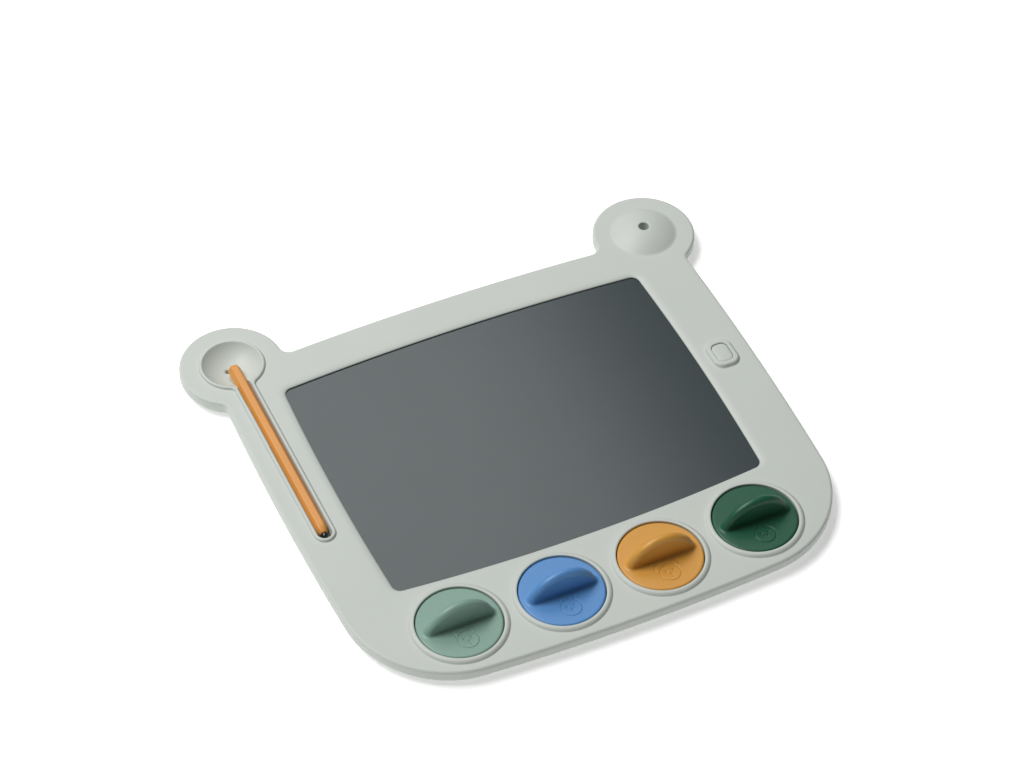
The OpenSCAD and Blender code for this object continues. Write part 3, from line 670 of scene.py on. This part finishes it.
def stamp_cap(name, kind):
    low, high = box_mm("stamp_cap_" + name)
    c = ((low + high) / 2)[:2]
    s = Surface()

    def disc(radius):
        return ring(c, radius, STAMP_TURNS)

    # disc, from the underside pocket round the outside to the top
    pocket_r = STAMP_R - CAP_WALL
    pocket_top = STAMP_TOP - CAP_TOP_T
    shapes = [(disc(pocket_r - 0.4), pocket_top), (disc(pocket_r), pocket_top - 0.4)]
    shapes += [(disc(pocket_r), CAP_Z + 0.2), (disc(pocket_r + 0.2), CAP_Z)]
    shapes += [(disc(STAMP_R - 0.3), CAP_Z), (disc(STAMP_R), CAP_Z + 0.3)]
    edge = reversed(quarter_round(DISC_EDGE_R, 6))
    shapes += [(disc(STAMP_R - inset), STAMP_TOP - drop) for inset, drop in edge]
    first, top_outer = s.stack(shapes)
    s.fill([first])

    # grip on its soft foot
    rise = list(GRIP_FOOT)
    side_h = GRIP_H - GRIP_SIDE_H - GRIP_CREST_GAP
    rise += [(GRIP_SIDE_H + side_h * math.sin(t), 0) for t in quarter(16, 1)]
    foot, crest = s.stack([(grip_loop(c, h, spread), STAMP_TOP + h) for h, spread in rise])
    s.fill([crest])

    # disc's top, with the face in front of the grip's foot
    height, extra = engraving(kind, c + [0, FACE_Y])
    foot_front = c[1] - (GRIP_T / 2 * (1 + GRIP_DRAFT) + GRIP_FOOT[0][1])
    s.fill([top_outer, foot], height, extra[extra[:, 1] < foot_front - FACE_GRID])
    return s.build("stamp_%s_cap" % name)


# ---------- stylus ----------
def hexagon_radius(t, apothem, round_r):
    """Radius at angle t of a hexagon with round corners and a flat on top."""
    sector = math.pi / 3
    k = (t - math.pi / 2 + sector / 2) % sector - sector / 2
    flat = apothem / math.cos(k)
    core = (apothem - round_r) / math.cos(sector / 2)
    off = sector / 2 - abs(k)
    round_part = core * math.cos(off) + math.sqrt(max(round_r ** 2 - (core * math.sin(off)) ** 2, 0))
    if apothem * math.tan(abs(k)) > (apothem - round_r) * math.tan(sector / 2):
        return min(flat, round_part)
    return flat


def lathe(name, axis_z, sections, sharp=40.0):
    """Closed piece round an axis along Y from (y, radius) sections; a radius may depend on the angle."""
    s = Surface()
    turns = [2 * math.pi * k / STYLUS_TURNS for k in range(STYLUS_TURNS)]
    loops = []
    for y, radius in sections:
        start = len(s.points)
        for t in turns:
            r = radius(t) if callable(radius) else radius
            s.points.append((SLOT_X + r * math.cos(t), y, axis_z + r * math.sin(t)))
        loops.append(list(range(start, len(s.points))))
    for a, b in zip(loops[:-1], loops[1:]):
        s.wall(a, b)
    s.faces += [tuple(loops[0]), tuple(loops[-1])]
    return s.build(name, sharp)


def stylus_barrel():
    start, end = BARREL_LOW[1], BARREL_HIGH[1]

    def hexagon(scale):
        return lambda t: scale * hexagon_radius(t, STYLUS_APOTHEM, STYLUS_CORNER_R)

    def cone(k):
        def radius(t):
            full = hexagon_radius(t, STYLUS_APOTHEM, STYLUS_CORNER_R)
            bulge = CONE_BULGE * math.sin(math.pi * k) * full / STYLUS_APOTHEM
            return min(full, NOSE_R + (full - NOSE_R) * k + bulge)
        return radius

    sections = [(start + 8, NOSE_BORE_R), (start + 0.1, NOSE_BORE_R), (start, NOSE_BORE_R + 0.1)]
    sections += [(start, NOSE_R - 0.15)]
    sections += [(start + 0.15 + CONE_L * k, cone(k)) for k in np.linspace(0, 1, 9)]
    sections += [(y, hexagon(1)) for y in np.linspace(start + CONE_L + 1, end - 2.0, 30)]
    sections += [(end - 1.3, hexagon(0.985)), (end - 0.75, hexagon(0.93)), (end - 0.3, hexagon(0.83))]
    sections += [(end - 0.06, hexagon(0.7)), (end, hexagon(0.55)), (end, hexagon(0.2))]
    return lathe("stylus_barrel_hex", STYLUS_Z, sections)


def stylus_tip():
    point = ((0, 0.25), (0.06, 0.5), (0.25, 0.75), (0.65, 0.98))
    ferrule = ((0.8, 1.2), (0.95, 1.42), (1.15, 1.52), (2.6, 1.78), (2.75, 1.74), (2.85, 1.35))
    shank = ((10.5, 1.35), (10.9, 1.1))
    sections = [(TIP_LOW[1] + along, radius) for along, radius in point + ferrule + shank]
    return lathe("stylus_tip_ferrule", STYLUS_Z, sections, 50.0)


# ---------- erase button ----------
def erase_cap():
    s = Surface()
    top = BUTTON_HIGH[2]
    base = BUTTON_LOW[2]
    flange_top = base + FLANGE_T
    shoulder = top - BUTTON_CROWN

    def shape(grow):
        return rounded(BUTTON, BUTTON_W + 2 * grow, BUTTON_L + 2 * grow, BUTTON_C + grow)

    shapes = [(shape(FLANGE - 0.2), base), (shape(FLANGE), base + 0.2), (shape(FLANGE), flange_top - 0.1)]
    shapes += [(shape(FLANGE - 0.1), flange_top), (shape(0), flange_top)]
    edge = reversed(quarter_round(BUTTON_EDGE_R, 6))
    shapes += [(shape(-inset), shoulder - drop) for inset, drop in edge]
    shapes += [(shape(-1.7), top - 0.07), (shape(-2.6), top - 0.01)]
    first, last = s.stack(shapes)
    s.fill([first])
    s.fill([last])
    return s.build("erase_button_cap")


# ---------- materials ----------
def srgb(r, g, b):
    def linear(c):
        c /= 255
        return c / 12.92 if c <= 0.04045 else ((c + 0.055) / 1.055) ** 2.4
    return (linear(r), linear(g), linear(b), 1)


CLOUD_SIZE = 38
GRAIN_DEPTH = 0.05


def plastic(name, colour, roughness, grain=0.9, bump=0.15, mottle=0.03, metallic=0.0):
    """Moulded plastic, with grain of a size in mm, slightly cloudy in colour and uneven in gloss."""
    material = bpy.data.materials.new(name)
    material.use_nodes = True
    nodes, links = material.node_tree.nodes, material.node_tree.links
    shader = nodes["Principled BSDF"]
    shader.inputs["Metallic"].default_value = metallic
    place = nodes.new("ShaderNodeTexCoord")

    def noise(size_mm, detail):
        node = nodes.new("ShaderNodeTexNoise")
        node.inputs["Scale"].default_value = 1 / (size_mm * MM)
        node.inputs["Detail"].default_value = detail
        links.new(place.outputs["Object"], node.inputs["Vector"])
        return node.outputs["Fac"]

    def ranged(value, low, high):
        node = nodes.new("ShaderNodeMapRange")
        node.inputs["From Min"].default_value = 0.3
        node.inputs["From Max"].default_value = 0.7
        node.inputs["To Min"].default_value = low
        node.inputs["To Max"].default_value = high
        links.new(value, node.inputs["Value"])
        return node.outputs["Result"]

    cloud = noise(CLOUD_SIZE, 3)
    fine = noise(grain, 2)
    mix = nodes.new("ShaderNodeMix")
    mix.data_type = "RGBA"
    mix.inputs["A"].default_value = tuple(c * (1 - mottle) for c in colour[:3]) + (1,)
    mix.inputs["B"].default_value = tuple(min(1, c * (1 + mottle)) for c in colour[:3]) + (1,)
    links.new(ranged(cloud, 0, 1), mix.inputs["Factor"])
    links.new(mix.outputs["Result"], shader.inputs["Base Color"])
    links.new(ranged(fine, roughness - 0.04, roughness + 0.05), shader.inputs["Roughness"])
    height = nodes.new("ShaderNodeBump")
    height.inputs["Strength"].default_value = bump
    height.inputs["Distance"].default_value = GRAIN_DEPTH * MM
    links.new(fine, height.inputs["Height"])
    links.new(height.outputs["Normal"], shader.inputs["Normal"])
    return material


def paint(piece, material):
    piece.data.materials.clear()
    piece.data.materials.append(material)


SHELL = plastic("shell_plastic", srgb(200, 205.5, 199), 0.5, 0.8, 0.25, 0.012)
FINISHES = {
    "shell": SHELL,
    "film": plastic("writing_film_satin", srgb(47, 59, 62), 0.21, 0.35, 0.06, 0.03),
    "dark_plastic": plastic("black_plastic", srgb(34, 36, 38), 0.5),
    "foam_tape": plastic("foam_tape_black", srgb(30, 31, 32), 0.9, 0.4, 0.6, 0.1),
    "flex": plastic("flex_amber", srgb(176, 104, 36), 0.3, 1.5, 0.1, 0.08),
    "board": plastic("board_green", srgb(38, 100, 62), 0.32, 1.2, 0.15, 0.08),
    "steel": plastic("zinc_steel", srgb(176, 178, 180), 0.32, 0.3, 0.2, 0.05, metallic=1.0),
    "connector": plastic("connector_cream", srgb(228, 222, 206), 0.45),
    "ceramic": plastic("capacitor_tan", srgb(183, 154, 107), 0.5, 0.3, 0.3, 0.1),
    "switch_cream": plastic("switch_cream", srgb(216, 210, 196), 0.4),
    "wire_red": plastic("wire_red", srgb(178, 38, 30), 0.4),
    "wire_black": plastic("wire_black", srgb(28, 28, 30), 0.4),
    "orange": plastic("stylus_orange", srgb(222, 152, 73), 0.38, 0.5, 0.12, 0.03),
    "tip": plastic("ferrule_black", srgb(34, 36, 40), 0.16, 0.5, 0.05),
    "mint": plastic("stamp_mint", srgb(131, 164, 151), 0.42, 0.7, 0.2, 0.02),
    "blue": plastic("stamp_blue", srgb(89, 145, 204), 0.42, 0.7, 0.2, 0.02),
    "ochre": plastic("stamp_ochre", srgb(214, 155, 66), 0.42, 0.7, 0.2, 0.02),
    "green": plastic("stamp_green", srgb(30, 88, 64), 0.42, 0.7, 0.2, 0.02),
    "die": plastic("stamp_die_rubber", srgb(214, 210, 200), 0.6, 0.6, 0.3, 0.03),
}
for part in frame["record"]["subparts"]:
    paint(frame["nodes"][part["node"]], FINISHES[part["material_slot"]])


def stands_for(piece, node, body, slot):
    paint(piece, FINISHES[slot])
    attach(piece, body)
    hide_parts(node)


stands_for(front_housing(), "front_housing", BODY, "shell")
stands_for(erase_cap(), "erase_button", "erase_button", "shell")
stands_for(stylus_barrel(), "stylus_barrel", "stylus", "orange")
stands_for(stylus_tip(), "stylus_tip", "stylus", "tip")
for kind, name in enumerate(STAMPS):
    stands_for(stamp_cap(name, kind), "stamp_cap_" + name, "stamp_" + name, name)


# ---------- floor, light, camera ----------
FLOOR_HALF = 6.0
FLOOR_Z = -0.4 * MM
FLOOR_GLOW = 0.42


def floor():
    """White sheet under the object, a little below it, that glows a little: painted light that brightens the
    walls facing it and pales the shadows cast on it.
    """
    mesh = bpy.data.meshes.new("floor")
    signs = ((-1, -1), (1, -1), (1, 1), (-1, 1))
    corners = [(sx * FLOOR_HALF, sy * FLOOR_HALF, FLOOR_Z) for sx, sy in signs]
    mesh.from_pydata(corners, [], [(0, 1, 2, 3)])
    piece = bpy.data.objects.new("floor", mesh)
    bpy.context.scene.collection.objects.link(piece)
    white = plastic("floor_white", (0.92, 0.92, 0.92, 1), 0.9, 5, 0.0, 0.005)
    shader = white.node_tree.nodes["Principled BSDF"]
    # painted light: the floor's emission fills the tablet's walls and pales the tablet's shadow on the floor
    shader.inputs["Emission Color"].default_value = (1, 1, 1, 1)
    shader.inputs["Emission Strength"].default_value = FLOOR_GLOW
    paint(piece, white)


def area_light(name, at, target, width, height, watts, colour=(1, 1, 1)):
    data = bpy.data.lights.new(name, "AREA")
    data.shape = "RECTANGLE"
    data.size = width
    data.size_y = height
    data.energy = watts
    data.color = colour
    light = bpy.data.objects.new(name, data)
    light.location = at
    light.rotation_euler = (Vector(target) - Vector(at)).to_track_quat("-Z", "Y").to_euler()
    bpy.context.scene.collection.objects.link(light)


def camera():
    eye = Vector((-0.4862, -1.0128, 1.2808))
    target = Vector((0.008, 0.0324, TOP_Z * MM))
    roll = math.radians(0.8725)
    data = bpy.data.cameras.new("camera")
    data.sensor_width = 36
    data.lens = 119.32
    data.clip_end = 20
    piece = bpy.data.objects.new("camera", data)
    ahead = (target - eye).normalized()
    right = ahead.cross(Vector((0, 0, 1))).normalized()
    up = right.cross(ahead)
    x = right * math.cos(roll) + up * math.sin(roll)
    y = up * math.cos(roll) - right * math.sin(roll)
    turned = Matrix((x, y, -ahead)).transposed().to_4x4()
    piece.matrix_world = Matrix.Translation(eye) @ turned
    bpy.context.scene.collection.objects.link(piece)
    bpy.context.scene.camera = piece


def sky(strength):
    world = bpy.data.worlds.new("studio")
    world.use_nodes = True
    world.node_tree.nodes["Background"].inputs["Color"].default_value = (1, 1, 1, 1)
    world.node_tree.nodes["Background"].inputs["Strength"].default_value = strength
    bpy.context.scene.world = world


floor()
sky(0.045)
area_light("key_left", (-1.25, 0.72, 2.85), (0, 0, 0), 1.8, 1.5, 84)
area_light("panel_behind", (0.09, 1.04, 1.27), (0.09, 1.04, 0), 1.0, 0.85, 8.3)
camera()
bpy.context.scene.view_settings.view_transform = "Standard"
